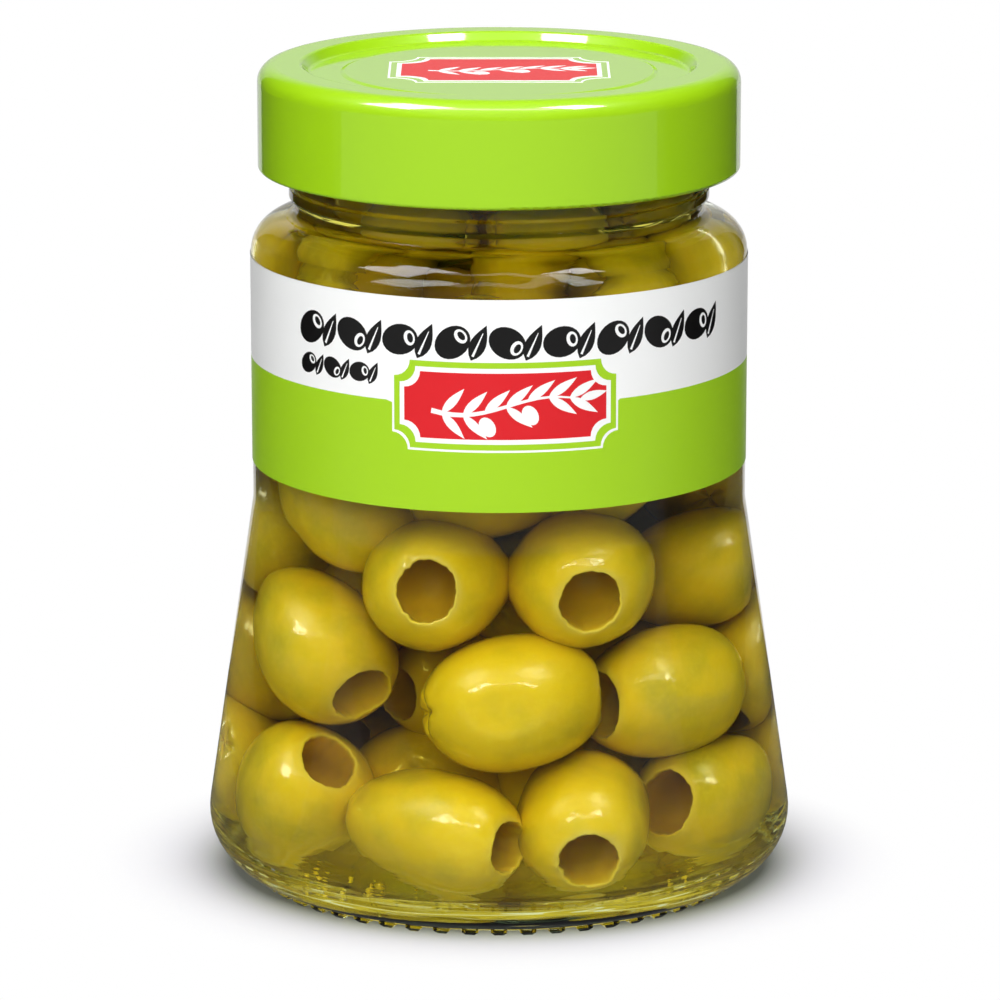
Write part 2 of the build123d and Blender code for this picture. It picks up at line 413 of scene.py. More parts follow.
@dataclass(frozen=True)
class OliveFlesh(Finish):
    """Cured green olive: waxy skin, yellow to green, with a paler cut rim, a golden hole wall, and dark brown
    painted shade deep in the hole where its wall faces down.

    Attributes:
        green: Colour of the greener skin.
        fleck: Colour of the small paler marks on the skin.
        pale: Colour of the cut flesh at the rim.
        wall: Colour of the hole's wall near the rim.
        painted_hole_shade: Dark brown painted as shade on the wall deep in the hole, where it faces down.
        patch: Width of a patch of colour.
        grain: Width of the skin's grain.
        dimple: Width of a dimple.
        wrinkle: Width of a wrinkle in the film of brine.
        wet_roughness: Roughness of the film of brine on it.
    """

    green: str = "#B4A41C"
    fleck: str = "#E8CC34"
    pale: str = "#D6BC4C"
    wall: str = "#E0B82C"
    # Dark brown painted as shade on the wall deep in a hole, where it faces down.
    painted_hole_shade: str = "#7A540C"
    patch: float = 7.0
    grain: float = 0.8
    dimple: float = 3.4
    wrinkle: float = 1.5
    wet_roughness: float = 0.12

    def inputs(self) -> dict[str, float | tuple[float, ...]]:
        """Values of the shader's inputs: flesh that lets light in a little, under a film of brine."""
        coat = {"Coat Weight": 1.0, "Coat Roughness": self.wet_roughness, "Coat IOR": 1.6}
        flesh = {
            "Subsurface Weight": 0.35,
            "Subsurface Radius": (1.0, 0.8, 0.25),
            "Subsurface Scale": 2.0 * MM,
        }
        return {**super().inputs(), "Specular IOR Level": 0.2, **coat, **flesh}

    def dress(self, tree: bpy.types.NodeTree, shader: bpy.types.Node) -> None:
        """Add the skin's colours, the cut flesh, the painted shade in the holes and the relief.

        Args:
            tree: The material's node tree.
            shader: Its Principled shader.
        """
        place = add_node(tree, "TexCoord").outputs["Object"]
        patterns = []
        for width, detail in (
            (self.patch, {"Detail": 2.0}),
            (self.grain, {"Detail": 3.0, "Roughness": 0.6}),
            (self.dimple, {"Detail": 2.0}),
            (self.wrinkle, {"Detail": 2.0, "Distortion": 0.6}),
        ):
            values = {"Scale": pattern_scale(width), **detail, "Vector": place}
            patterns.append(add_node(tree, "TexNoise", values).outputs[0])
        patches, grain, dimples, wrinkles = patterns
        tint, rim, bore = (
            add_node(tree, "Attribute", {"attribute_name": name, "attribute_type": "GEOMETRY"}).outputs["Fac"]
            for name in ("tint", "rim", "bore")
        )
        faces = add_node(tree, "NewGeometry").outputs["Normal"]
        up = add_node(tree, "SeparateXYZ", {0: faces}).outputs["Z"]
        known = {"patches": patches, "tint": tint, "rim": rim}
        for name, value, limits in (
            ("speck", grain, {"From Min": 0.45, "From Max": 0.75, "To Max": 0.3}),
            ("inside", bore, {"interpolation_type": "SMOOTHSTEP", "From Min": 0.02, "From Max": 0.25}),
            ("deep", bore, {"interpolation_type": "SMOOTHSTEP", "From Min": 0.3, "From Max": 0.85}),
            # Painted shade: deep in a hole, the wall is painted dark brown where it faces down.
            ("shaded", up, {"From Min": 0.55, "From Max": -0.75, "To Min": 0.1}),
            ("rough", grain, {"To Min": self.roughness - 0.06, "To Max": self.roughness + 0.1}),
        ):
            known[name] = add_node(tree, "MapRange", {**limits, "Value": value}).outputs[0]
        for name, operation, clamped, *values in (
            ("greener", "MULTIPLY_ADD", False, "patches", 2.2, -1.0),
            ("greener", "ADD", True, "greener", "tint"),
            ("frayed", "MULTIPLY", False, "rim", "patches"),
            ("frayed", "MULTIPLY", True, "frayed", 1.5),
            # The painted shade deep in a hole, only where the wall faces down.
            ("deep", "MULTIPLY", False, "deep", "shaded"),
        ):
            sources = {number: known.get(value, value) for number, value in enumerate(values)}
            step = {"operation": operation, "use_clamp": clamped, **sources}
            known[name] = add_node(tree, "Math", step).outputs[0]
        colour = linear(self.colour)
        for share, next_colour in (
            ("greener", self.green),
            ("speck", self.fleck),
            ("frayed", self.pale),
            ("inside", self.wall),
            # Last comes the painted shade deep in the hole.
            ("deep", self.painted_hole_shade),
        ):
            blend = {"data_type": "RGBA", 0: known[share], 6: colour, 7: linear(next_colour)}
            colour = add_node(tree, "Mix", blend).outputs[2]
        tree.links.new(colour, shader.inputs["Base Color"])
        tree.links.new(known["rough"], shader.inputs["Roughness"])
        # Each layer's strength, its depth in millimetres and its pattern, on the skin and on the film.
        for socket, layers in (
            ("Normal", ((0.4, 0.1, grain), (0.4, 0.22, dimples))),
            ("Coat Normal", ((0.6, 0.12, wrinkles), (0.35, 0.2, dimples))),
        ):
            below = {}
            for strength, depth, height in layers:
                relief = {"Strength": strength, "Distance": depth * MM, "Height": height, **below}
                below = {"Normal": add_node(tree, "Bump", relief).outputs[0]}
            tree.links.new(below["Normal"], shader.inputs[socket])


@dataclass(frozen=True)
class StudioTable(Finish):
    """Matt white table: painted contact shadow at the jar's foot, painted caustic light under it, a painted
    glow for mirrored rays, and plain white away from it.

    Attributes:
        bounce: Colour that it lights the jar with, as a small table would.
        glow: Colour of the painted caustic light under the jar, which stands for the light that the brine
            throws on it, as seen through the jar.
        glint: Colour of the brightest rings of that light.
        dim: Colour of the darkest rings.
        ring: Width of a ring.
        ring_contrast: How much the rings differ.
        ring_shift: What is added to them, below 0 for more of the darkest colour.
        glint_from: How bright a ring is where it becomes a glint, from 0 to 1.
        foot: Radius of the jar's foot, in millimetres.
        past_foot: How far beyond the foot the table still counts as under the jar.
        squash: Scale of the distance from the jar along each axis, which makes the shadow oval.
        reach: Distance from the foot at which its contact shadow has mostly gone.
        depth: How dark the contact shadow is at the foot.
        deepest: What the contact shadow's strength stops at under the jar.
        shadow_grey: Linear grey of the contact shadow.
        shadow_inner: Distance from the jar's axis up to which the table is lit by the lamps alone.
        shadow_outer: Distance at which it shows plain white.
        mirror_front: Strength with which mirrored rays see the table in front of the jar.
        mirror_behind: How much weaker it is behind the jar.
        mirror_beyond: The strength straight behind the jar.
        mirror_near: The strength near the jar.
        near: How many radii of the foot near reaches.
        behind_slope: How far forward the border of what is behind runs, for each step to the side.
        beyond_slope: How far back the border of what is straight behind runs, for each such step.
        bent: Strength with which rays that glass bends see the table.
        bent_beyond: How much stronger it is straight behind the jar.
    """

    bounce: str = "#A8A8A8"
    glow: str = "#E0C93A"
    glint: str = "#EEF1C0"
    dim: str = "#8A7E14"
    ring: float = 1.6
    ring_contrast: float = 4.0
    ring_shift: float = -1.3
    glint_from: float = 0.62
    foot: float = 33.0
    past_foot: float = 1.8
    squash: tuple[float, float, float] = (0.87, 1.02, 1.0)
    reach: float = 4.4
    depth: float = 0.85
    deepest: float = 1.1
    shadow_grey: float = 0.05
    shadow_inner: float = 34.0
    shadow_outer: float = 51.0
    mirror_front: float = 0.28
    mirror_behind: float = 0.22
    mirror_beyond: float = 0.7
    mirror_near: float = 0.12
    near: float = 3.5
    behind_slope: float = 0.21
    beyond_slope: float = 2.0
    bent: float = 0.12
    bent_beyond: float = 0.78

    def finish(self, tree: bpy.types.NodeTree, shader: bpy.types.Node, output: bpy.types.Node) -> None:
        """Darken the table for bounced light, paint a contact shadow at the foot and caustic light under the
        jar, paint its glow for mirrored rays, and fade it to white where it is seen.

        Args:
            tree: The material's node tree.
            shader: Its Principled shader.
            output: Its output node.
        """
        path = add_node(tree, "LightPath").outputs
        place = add_node(tree, "TexCoord").outputs["Object"]
        sides = add_node(tree, "SeparateXYZ", {0: place}).outputs
        far = add_node(tree, "VectorMath", {"operation": "LENGTH", 0: place}).outputs["Value"]
        oval = add_node(tree, "VectorMath", {"operation": "MULTIPLY", 0: place, 1: self.squash}).outputs[0]
        cast = add_node(tree, "VectorMath", {"operation": "LENGTH", 0: oval}).outputs["Value"]
        pattern = {"noise_dimensions": "1D", "Scale": pattern_scale(self.ring), "Detail": 1.0, "W": far}
        limits = {"From Min": self.shadow_inner * MM, "From Max": self.shadow_outer * MM, "Value": cast}
        known = {
            "eye": path["Is Camera Ray"],
            "gloss": path["Is Glossy Ray"],
            "bend": path["Is Transmission Ray"],
            "bounce": path["Is Diffuse Ray"],
            "x": sides["X"],
            "y": sides["Y"],
            "far": far,
            "cast": cast,
            "rings": add_node(tree, "TexNoise", pattern).outputs[0],
            "fade": add_node(tree, "MapRange", {"interpolation_type": "SMOOTHSTEP", **limits}).outputs[0],
        }
        for name, operation, *values in (
            # The painted contact shadow, which only the camera sees.
            ("contact", "SUBTRACT", self.foot * MM, "cast"),
            ("contact", "MULTIPLY", "contact", 1 / (self.reach * MM)),
            ("contact", "EXPONENT", "contact"),
            ("contact", "MINIMUM", "contact", self.deepest),
            ("contact", "MULTIPLY", "contact", self.depth),
            ("contact", "MULTIPLY", "contact", "eye"),
            # The painted caustic light on the ground under the jar, in rings and glints, as mirrored and bent
            # rays see it.
            ("clear", "LESS_THAN", "far", (self.foot + self.past_foot) * MM),
            ("under", "MAXIMUM", "bend", "gloss"),
            ("under", "MULTIPLY", "under", "clear"),
            ("bright", "MULTIPLY_ADD", "rings", self.ring_contrast, self.ring_shift),
            ("bright", "MINIMUM", "bright", 1.0),
            ("glint", "GREATER_THAN", "rings", self.glint_from),
            # How strongly mirrored rays see the rest of the table, as a painted reflection glow.
            ("wide", "ABSOLUTE", "x"),
            ("behind", "MULTIPLY_ADD", "wide", self.behind_slope, "y"),
            ("behind", "GREATER_THAN", "behind", 0.0),
            ("beyond", "MULTIPLY_ADD", "wide", -self.beyond_slope, "y"),
            ("beyond", "GREATER_THAN", "beyond", 0.0),
            ("mirrored", "MULTIPLY_ADD", "behind", -self.mirror_behind, self.mirror_front),
            ("straight", "MULTIPLY", "beyond", self.mirror_beyond),
            ("mirrored", "MAXIMUM", "mirrored", "straight"),
            ("near", "LESS_THAN", "far", self.near * self.foot * MM),
            ("away", "SUBTRACT", 1.0, "near"),
            ("mirrored", "MULTIPLY", "mirrored", "away"),
            ("mirrored", "MULTIPLY_ADD", "near", self.mirror_near, "mirrored"),
            # How strongly every ray sees it.
            ("bent", "MULTIPLY_ADD", "beyond", self.bent_beyond, self.bent),
            ("bent", "MULTIPLY", "bend", "bent"),
            ("shown", "MULTIPLY_ADD", "gloss", "mirrored", "bent"),
            ("shown", "ADD", "shown", "eye"),
            ("shown", "MAXIMUM", "shown", "under"),
            # Where it shows so, in place of what the lamps make of it: plain white away from the jar, painted
            # reflection for mirrored rays, and painted caustic light under the jar.
            ("share", "MAXIMUM", "eye", "bend"),
            ("share", "MULTIPLY", "share", "fade"),
            ("share", "MAXIMUM", "share", "gloss"),
            ("share", "MAXIMUM", "share", "under"),
        ):
            sources = {number: known.get(value, value) for number, value in enumerate(values)}
            known[name] = add_node(tree, "Math", {"operation": operation, **sources}).outputs[0]
        shadow = (self.shadow_grey, self.shadow_grey, self.shadow_grey, 1.0)
        for name, share, *colours in (
            # The painted contact shadow in the table's colour.
            ("table", "contact", linear(self.colour), shadow),
            # The painted caustic glow under the jar, in the colour that bounced rays see.
            ("lit", "clear", linear(self.bounce), linear(self.glow)),
            ("base", "bounce", "table", "lit"),
            # The painted caustic rings and glints under the jar.
            ("caustic", "bright", linear(self.dim), linear(self.glow)),
            ("caustic", "glint", "caustic", linear(self.glint)),
            ("seen", "under", linear("#FFFFFF"), "caustic"),
        ):
            first, second = (known.get(colour, colour) for colour in colours)
            blend = {"data_type": "RGBA", 0: known[share], 6: first, 7: second}
            known[name] = add_node(tree, "Mix", blend).outputs[2]
        tree.links.new(known["base"], shader.inputs["Base Color"])
        light = add_node(tree, "Emission", {"Color": known["seen"], "Strength": known["shown"]})
        mix = add_node(tree, "MixShader", {0: known["share"], 1: shader.outputs[0], 2: light.outputs[0]})
        tree.links.new(mix.outputs[0], output.inputs["Surface"])


# Soda-lime glass, blown: clear and smooth, wavy at the shoulder, with a trace of green in its thick foot.
SODA_LIME_GLASS = Clear(
    "soda_lime_glass",
    "#FBFDFA",
    0.0,
    1.52,
    "#F3F8EE",
    waves=((86, 90, 0.6, 12, 2.6), (8.5, 6, 0.35, 24, 14)),
)
# Brine that the olives have coloured: clear, and yellow-green with depth.
BRINE = Clear("olive_brine", "#FFFFFF", 0.0, 1.34, "#F4F0C6", mirror=0.05)
# Cured green olive flesh: waxy and wet, yellow-green, and a little translucent.
OLIVE = OliveFlesh("cured_green_olive", "#DFBD12", 0.34, 1.45)
# Stove lacquer on tinplate: glossy, bright green, smooth.
GREEN_LACQUER = Lacquer("green_lacquered_tinplate", "#9ED108", 0.4)
# Coated paper, varnished: bright white with a satin sheen.
WHITE_PAPER = CoatedPaper("white_coated_paper", "#F2F3F2", 0.36)
# Offset inks on that paper: they take on its sheen.
GREEN_INK = CoatedPaper("green_printed_paper", "#9FCF10", 0.34)
BLACK_INK = CoatedPaper("black_printed_paper", "#0D0C0C", 0.34)
RED_INK = CoatedPaper("red_printed_paper", "#D60F1B", 0.34)
# Painted studio table: matt and near white.
STUDIO_FLOOR = StudioTable("matt_studio_table", "#D6D5DD", 0.9)
# Black felt on a board: it shows only as the dark in what is glossy.
BLACK_FLAG = Finish("black_felt", "#050505", 1.0)


class Ink(Enum):
    """What a printed face shows."""

    PAPER = WHITE_PAPER
    GREEN = GREEN_INK
    BLACK = BLACK_INK
    RED = RED_INK


INKS = list(Ink)


# ---- Jar and brine -------------------------------------------------------------------------------


@dataclass
class Jar:
    """The glass jar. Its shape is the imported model's; here it gets its glass.

    Attributes:
        finish: What it is made of.
    """

    finish: Clear = SODA_LIME_GLASS

    def dress(self) -> bpy.types.Object:
        """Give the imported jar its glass.

        Returns:
            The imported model's jar.
        """
        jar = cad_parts["glass_jar"]
        jar.data.materials.clear()
        jar.data.materials.append(self.finish.material())
        return jar


@dataclass
class Cavity:
    """The inside of the glass, from its floor up to the level of the brine.

    Attributes:
        floor: Height of the glass floor.
        level: Height of the brine.
        bore: Inner radius of the neck.
        panel: Inner radius behind the label.
        flare_corner: Height at which the flared wall starts.
        flare_angle: Slope of the flared wall, in degrees.
        shoulder: Height of the underside of the shoulder.
        heel_round: Round of the corner at the floor.
        flare_blend: Round with which the flared wall meets the straight one.
        shoulder_round: Round of the corner under the shoulder.
        neck_round: Round of the corner where the neck starts.
        meniscus: How far the brine creeps up the neck's wall.
    """

    floor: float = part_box("brine")[0].z / MM
    level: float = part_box("brine")[1].z / MM
    bore: float = 25.6
    panel: float = 31.64
    flare_corner: float = 53.07
    flare_angle: float = 8.451
    shoulder: float = 90.2
    heel_round: float = 6.0
    flare_blend: float = 8.0
    shoulder_round: float = 4.0
    neck_round: float = 1.8
    meniscus: float = 0.9

    def outline(self, grown: float = 0.0) -> np.ndarray:
        """Outline of the cavity, moved into the glass.

        Args:
            grown: How far into the glass.

        Returns:
            Rows of radius and height, from the middle of the floor to the middle of the surface.
        """
        slope = tan(radians(self.flare_angle))
        heel = self.panel + (self.flare_corner - self.floor) * slope
        corners = [
            (0, self.floor - grown, 0),
            (heel + grown, self.floor - grown, self.heel_round),
            (self.panel + grown, self.flare_corner, self.flare_blend),
            (self.panel + grown, self.shoulder + grown, self.shoulder_round),
            (self.bore + grown, self.shoulder + grown, self.neck_round),
            (self.bore + grown, self.level, 0),
        ]
        creep = [
            (self.bore - self.meniscus * share, self.level - self.meniscus * (1 - (1 - share) ** 2))
            for share in (0.25, 0.5, 1.0)
        ]
        return np.concatenate([rounded_outline(corners), creep, [(0, creep[-1][1])]])

    def push_in(self, points: np.ndarray, sizes: np.ndarray | float) -> np.ndarray:
        """How far balls, or points with a gap round them, have to move to lie inside the cavity.

        Args:
            points: Centres of the balls.
            sizes: Their radii.

        Returns:
            A move for each ball, 0 for a ball that lies inside.
        """
        outline = self.outline()
        flat = np.stack([np.hypot(points[:, 0], points[:, 1]), points[:, 2]], 1)
        start, run = outline[:-1], np.diff(outline, axis=0)
        share = np.einsum("bsk,sk->bs", flat[:, None] - start, run) / (run**2).sum(1)
        away = flat[:, None] - start - np.clip(share, 0, 1)[..., None] * run
        gaps = np.linalg.norm(away, axis=2)
        pick = gaps.argmin(1)
        rows = np.arange(len(flat))
        gap, away = gaps[rows, pick], away[rows, pick]
        outside = (away * np.stack([-run[pick, 1], run[pick, 0]], 1)).sum(1) < 0
        side = np.where(outside, -1.0, 1.0)
        inward = away * side[:, None] / np.maximum(gap, 1e-6)[:, None]
        amount = np.clip(sizes - gap * side, 0, None)[:, None]
        round_axis = points[:, :2] / np.maximum(flat[:, :1], 1e-6)
        return np.hstack([round_axis * inward[:, :1] * amount, inward[:, 1:] * amount])


@dataclass
class Brine:
    """The brine, reaching just into the glass so that no air shows between them.

    Attributes:
        cavity: The inside of the jar.
        finish: What it is made of.
        sunk: How far it reaches into the glass.
        segments: Number of steps round.
    """

    cavity: Cavity
    finish: Clear = BRINE
    sunk: float = 0.06
    segments: int = 192

    def build(self) -> bpy.types.Object:
        """Turn the brine's outline into a closed piece.

        Returns:
            The piece.
        """
        outline = self.cavity.outline(self.sunk)
        points, faces = turned(outline, self.segments)
        piece = make_piece(
            "brine_fill", points, faces, [self.finish.material()], sharp_angle=40
        )
        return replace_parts(piece, "brine")


# ---- Olives --------------------------------------------------------------------------------------


@dataclass
class Olive:
    """One pitted olive: a drilled hole at one end and a puckered cross cut at the other.

    Attributes:
        centre: Middle of the olive, in millimetres.
        way: Direction in which the hole faces.
        length: Length of the whole olive before it was drilled.
        width: Greatest width.
        hole: Width of the drilled hole.
        tint: How green it is, from -0.4 for yellow to 0.6.
        squareness: 2 for an ellipsoid, and more for fuller ends.
        rim_round: Round of the hole's rim.
        bore_depth: Depth of the hole, as a share of the length.
    """

    centre: np.ndarray
    way: np.ndarray
    length: float = 22.0
    width: float = 18.0
    hole: float = 8.0
    tint: float = 0.0
    squareness: float = 2.25
    rim_round: float = 0.45
    bore_depth: float = 0.42

    def meridian(self, rings: int) -> tuple[np.ndarray, np.ndarray, np.ndarray, np.ndarray]:
        """Rings from the puckered end over the skin, round the rim and down the bore.

        Args:
            rings: Number of rings over the skin.

        Returns:
            Distance along the axis, radius, and the marks for rim and bore, one value for each ring.
        """
        half, reach, hole = self.length / 2, self.width / 2, self.hole / 2
        power = 2 / self.squareness
        last = asin(((hole + self.rim_round) / reach) ** (1 / power))
        angle = pi - (pi - last) * np.linspace(0, 1, rings + 1)[1:] ** 1.35
        along = half * np.sign(np.cos(angle)) * np.abs(np.cos(angle)) ** power
        radius = reach * np.sin(angle) ** power
        lip = np.linspace(0, 1, 6)[1:]
        top = along[-1]
        edge = top + (along[-1] - along[-2]) / (radius[-2] - radius[-1]) * self.rim_round * 0.8
        lip_along = (1 - lip) ** 2 * top + 2 * lip * (1 - lip) * edge + lip**2 * (top - self.rim_round)
        lip_radius = (1 - lip) ** 2 * radius[-1] + (1 - (1 - lip) ** 2) * hole
        depth = self.length * self.bore_depth
        down = np.linspace(0, 1, 9)[1:]
        bore_along = top - self.rim_round - depth * down
        bore_radius = hole * (1 + 0.1 * np.sin(pi * down)) * np.sqrt(np.clip(1 - down**5 * 0.9, 0, 1))
        frayed = smooth_step(radius, hole + 1.3, hole + 0.3) * (along > 0)
        rim = np.concatenate([frayed, 1 + 0 * lip, 0.6 - 0.6 * down])
        bore = np.concatenate([0 * angle, 0.15 * lip**2, 0.15 + 0.85 * down])
        return (
            np.concatenate([along, lip_along, bore_along]),
            np.concatenate([radius, lip_radius, bore_radius]),
            rim,
            bore,
        )

    def surface(
        self, around: int, rings: int, random: np.random.Generator
    ) -> tuple[np.ndarray, list[tuple[int, ...]], dict[str, np.ndarray]]:
        """Mesh of the olive, with its lumps, dents, ragged rim and puckered end.

        Args:
            around: Number of vertices in a ring.
            rings: Number of rings over the skin.
            random: Source of the olive's unevenness.

        Returns:
            Vertices in place, faces, and the marks of each vertex by name.
        """
        along, radius, rim, bore = self.meridian(rings)
        turn = np.arange(around) * 2 * pi / around
        x = np.repeat(along[:, None], around, 1)
        r = np.repeat(radius[:, None], around, 1)
        half, reach = self.length / 2, self.width / 2

        # The rim is ragged: slow waves, fine ones and a few nicks.
        phases = random.uniform(0, 2 * pi, 8)
        ragged = 0.16 * np.cos(2 * turn + phases[0]) + 0.08 * np.cos(5 * turn + phases[1])
        ragged = ragged + 0.05 * np.cos(13 * turn + phases[2]) + 0.04 * np.cos(21 * turn + phases[3])
        for place, depth in zip(random.uniform(0, 2 * pi, 4), random.uniform(-0.22, 0.2, 4)):
            ragged = ragged + depth * np.exp(-((np.sin((turn - place) / 2) / 0.045) ** 2))
        near_rim = np.clip(rim, 0, 1)[:, None]
        r = r + near_rim * ragged[None]
        x = x + near_rim * (0.12 * np.cos(3 * turn + phases[4]) - 0.35 * np.clip(-ragged, 0, 1))[None]

        # The end across from the hole is puckered round its cross cut.
        skin_end = (x < 0) & (bore[:, None] < 0.1)
        cut = np.abs(np.cos(2 * turn + phases[5])) ** 8
        pucker = 0.75 * np.exp(-((r / 1.5) ** 2)) + 0.75 * cut[None] * np.exp(-(((r - 1.2) / 1.3) ** 2))
        pucker = pucker - 0.22 * np.exp(-(((r - 3.0) / 1.0) ** 2)) * (1 - cut[None])
        x = x + np.where(skin_end, pucker, 0)

        # The whole olive has swellings and a few flats, and is bent a little.
        shape = np.stack([x, r * np.cos(turn), r * np.sin(turn) * random.uniform(0.94, 1.0)], -1)
        facing = unit(shape / [half, reach, reach])
        swell = np.zeros(x.shape)
        for frequency in (1.6, 2.4, 3.2, 4.6):
            wave = unit(random.normal(size=3)) * frequency
            swell += 0.42 / frequency * np.sin(facing @ wave + random.uniform(0, 2 * pi))
        for _ in range(3):
            swell -= 0.4 * smooth_step(facing @ unit(random.normal(size=3)), 0.72, 1.0)
        shape = shape * (1 + swell / reach)[..., None]
        shape[..., 1] += random.uniform(0.2, 0.9) * ((shape[..., 0] / half) ** 2 - 0.3)

        poles = np.array([[along[0] + 0.9, 0, 0], [along[-1] - 0.05, 0, 0]])
        local = np.concatenate([shape.reshape(-1, 3), poles])
        side = unit(np.cross(self.way, unit(random.normal(size=3))))
        axes = np.stack([self.way, side, np.cross(self.way, side)])
        faces = ring_faces(len(along), around, len(local) - 2, len(local) - 1)
        marks = {
            "rim": np.append(np.repeat(rim, around), [0, 0]),
            "bore": np.append(np.repeat(bore, around), [0.5, 1]),
            "tint": np.full(len(local), self.tint),
        }
        return local @ axes + self.centre, faces, marks


@dataclass
class Heap:
    """The olives in the jar: those in front placed one by one, and the rest settled round them.

    Attributes:
        cavity: The inside of the jar.
        finish: What the olives are made of.
        front: Number of olives listed in front, which come first in the list.
        top: Number of olives listed at the shoulder, which come next.
        count: Number of olives that are not listed.
        seed: Seed of every random choice.
        rounds: Number of rounds in which the olives are pushed apart.
        wall_gap: Gap between an olive and the wall.
        film: Gap that is left after the last round, by pressing the skin flat.
        end_ball: Size of the balls that stand for an olive's ends, as a share of its middle.
        back_row: The Y behind which the olives that aren't listed have to stay.
        heart: Radius within which an olive can't be seen from outside.
        heart_top: Height up to which that holds.
        lowest: Least height at which an olive starts.
        below_level: How far under the brine's level the highest one starts.
        narrow_from: Height from which they start near the axis.
        narrow: Greatest radius at which they start there.
        wide: Greatest radius at which they start lower down.
        small_from: Height from which the olives are small.
        small: Least and greatest length of the small ones.
        large: Least and greatest length of the others.
        lying_from: Height from which they lie nearly level.
        plumpness: Least and greatest width, as a share of the length.
        holes: Least and greatest width of the hole.
        tints: Least and greatest tint.
        first_size: Size from which the olives grow while they are pushed apart, as a share.
        push_share: How much of a push an olive follows in a round.
        sinking: How far an olive sinks in a round.
        held_back_to: Height up to which they have to.
        held_back: Share of the way back that an olive goes in a round.
    """

    cavity: Cavity
    finish: OliveFlesh = OLIVE
    front: int = 13
    top: int = 6
    count: int = 51
    seed: int = 7
    rounds: int = 700
    wall_gap: float = 0.1
    film: float = 0.15
    end_ball: float = 0.8
    back_row: float = -5.0
    heart: float = 13.0
    heart_top: float = 80.0
    lowest: float = 12.0
    below_level: float = 9.0
    narrow_from: float = 85.0
    narrow: float = 16.0
    wide: float = 26.0
    small_from: float = 78.0
    small: tuple[float, float] = (14.0, 19.0)
    large: tuple[float, float] = (20.0, 23.5)
    lying_from: float = 62.0
    plumpness: tuple[float, float] = (0.79, 0.86)
    holes: tuple[float, float] = (7.6, 8.6)
    tints: tuple[float, float] = (-0.3, 0.35)
    first_size: float = 0.6
    push_share: float = 1.2
    sinking: float = 0.02
    held_back_to: float = 60.0
    held_back: float = 0.4

    def placed(self) -> list[Olive]:
        """The olives that show in front, from the top row down, and those at the shoulder."""
        # Azimuth, radius and height of the middle, turn and lift of the hole's way, length, width,
        # width of the hole, and tint.
        rows = (
            (-55, 22.0, 55.0, -120, 40, 21.0, 17.0, 8.0, 0.0),
            (-5, 15.0, 59.5, 110, 10, 22.0, 16.6, 8.0, -0.1),
            (46, 16.5, 61.0, 150, 20, 20.5, 16.0, 8.0, 0.1),
            (80, 23.0, 44.0, -62, 4, 21.0, 17.2, 8.4, 0.2),
            (-20, 22.0, 46.2, -12, 2, 20.5, 18.8, 8.3, -0.1),
            (27, 22.6, 46.7, 12, -8, 20.0, 18.8, 8.4, 0.0),
            (-62, 24.4, 35.0, 28, -26, 23.5, 19.0, 8.2, 0.05),
            (4, 25.3, 30.7, 104, 6, 22.8, 18.9, 8.2, -0.15),
            (54, 25.5, 29.0, -52, 2, 23.0, 18.0, 8.8, 0.15),
            (-61, 27.3, 13.8, 22, 44, 21.5, 18.8, 8.0, 0.05),
            (-16, 27.6, 13.0, 54, -4, 25.0, 17.9, 7.8, -0.1),
            (23, 27.0, 13.8, 6, -20, 22.5, 18.0, 8.2, 0.0),
            (66, 27.5, 13.0, -30, 8, 21.5, 18.2, 8.6, 0.25),
            (-60, 23.4, 80.0, -150, 3, 20.0, 14.5, 7.6, 0.1),
            (-9, 24.0, 79.3, -99, -5, 20.5, 14.0, 7.8, -0.1),
            (43, 23.6, 80.3, 133, 5, 20.0, 14.5, 7.8, 0.15),
            (-36, 16.0, 93.2, -126, 8, 15.2, 11.6, 7.0, 0.0),
            (22, 16.4, 92.6, 112, -6, 15.6, 11.6, 7.0, 0.1),
            (80, 16.0, 93.4, 170, 5, 15.0, 11.6, 7.0, 0.2),
        )
        return [Olive(from_front(*row[:3]), heading(*row[3:5]), *row[5:]) for row in rows]

    def settle(self) -> list[Olive]:
        """Push the olives apart until they fill the jar.

        Returns:
            All the olives, those listed first.
        """
        random = np.random.default_rng(self.seed)
        olives = self.placed()
        hand = len(olives)
        while len(olives) < hand + self.count:
            azimuth = random.uniform(0, 360)
            height = random.uniform(self.lowest, self.cavity.level - self.below_level)
            if height > self.narrow_from:
                radius = self.narrow * random.uniform(0.1, 1) ** 0.5
            else:
                radius = self.wide * random.uniform(0, 1) ** 0.5
            length = random.uniform(*(self.large if height < self.small_from else self.small))
            way = unit(random.normal(size=3) * [1, 1, 0.15 if height > self.lying_from else 1])
            way[1] = abs(way[1])
            olives.append(
                Olive(
                    from_front(azimuth, radius, height),
                    way,
                    length,
                    length * random.uniform(*self.plumpness),
                    random.uniform(*self.holes),
                    random.uniform(*self.tints),
                )
            )
        centres = np.array([o.centre for o in olives])
        ways = np.array([o.way for o in olives])
        widths = np.array([o.width for o in olives]) / 2
        reach = np.array([o.length for o in olives]) / 2 * 0.95 - widths * self.end_ball
        sizes = np.stack([widths * self.end_ball, widths, widths * self.end_ball], 1)
        offsets = np.stack([-reach, 0 * reach, reach], 1)
        owner = np.repeat(np.arange(len(olives)), 3)
        apart = owner[:, None] != owner[None]
        give = np.where(owner[None] < hand, 1.0, 0.5)
        for step in range(self.rounds):
            size = min(1.0, self.first_size + 0.6 * step / self.rounds)
            grown = np.where(np.arange(len(olives)) < hand, 1.0, size)
            balls = (centres[:, None] + offsets[..., None] * ways[:, None]).reshape(-1, 3)
            radii = (sizes * grown[:, None]).reshape(-1)
            between = balls[:, None] - balls[None]
            gaps = np.linalg.norm(between, axis=2) + 1e-9
            overlap = np.clip(radii[:, None] + radii[None] - gaps, 0, None) * apart * give
